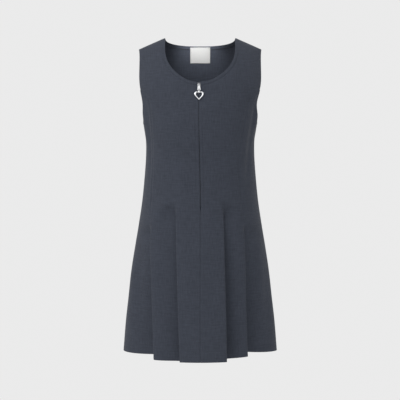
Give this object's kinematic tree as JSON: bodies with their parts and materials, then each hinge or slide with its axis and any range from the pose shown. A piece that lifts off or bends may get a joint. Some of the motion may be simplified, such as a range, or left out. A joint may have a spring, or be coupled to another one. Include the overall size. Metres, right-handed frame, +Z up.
{
  "type": "pinafore dress",
  "caption": "Child's sleeveless A-line pinafore dress with a round neck, a front zip with a heart pull, and knife pleats that open below the waist; hollow, as worn.",
  "frame": {"origin": "on the centre line, 12 mm below the neck points and halfway down the shoulder slope, above the middle of the shoulder seams, where the shoulders carry the dress", "axes": "+Z up, -Y out of the front with the zip, +X towards the wearer's left"},
  "size_m": [0.3322, 0.2364, 0.6725],
  "materials": {
    "cloth": "dark blue-grey woven twill, matt with a faint nap",
    "zip_tape": "dark blue-grey woven tape, matt",
    "label": "white satin woven label, blank",
    "zip_metal": "bright nickel plate"
  },
  "bodies": {
    "dress": {"back": "cloth", "front_left": "cloth", "front_right": "cloth", "side_front_left": "cloth", "side_front_right": "cloth", "zip_tape_left": "zip_tape", "zip_tape_right": "zip_tape", "neck_label": "label", "zip_slider": "zip_metal"},
    "pull_tab": {"pull_tab": "zip_metal"},
    "heart_charm": {"heart_charm": "zip_metal"}
  },
  "joints": [
    {"name": "tab_swing", "type": "hinge", "parent": "dress", "child": "pull_tab", "pos_m": [-0.00251, -0.08606, -0.08733], "axis": [-1, 0, 0], "range_deg": [0, 150]},
    {"name": "heart_swing", "type": "hinge", "parent": "pull_tab", "child": "heart_charm", "pos_m": [-0.00251, -0.08872, -0.10015], "axis": [-1, 0, 0], "range_deg": [0, 80]}
  ]
}
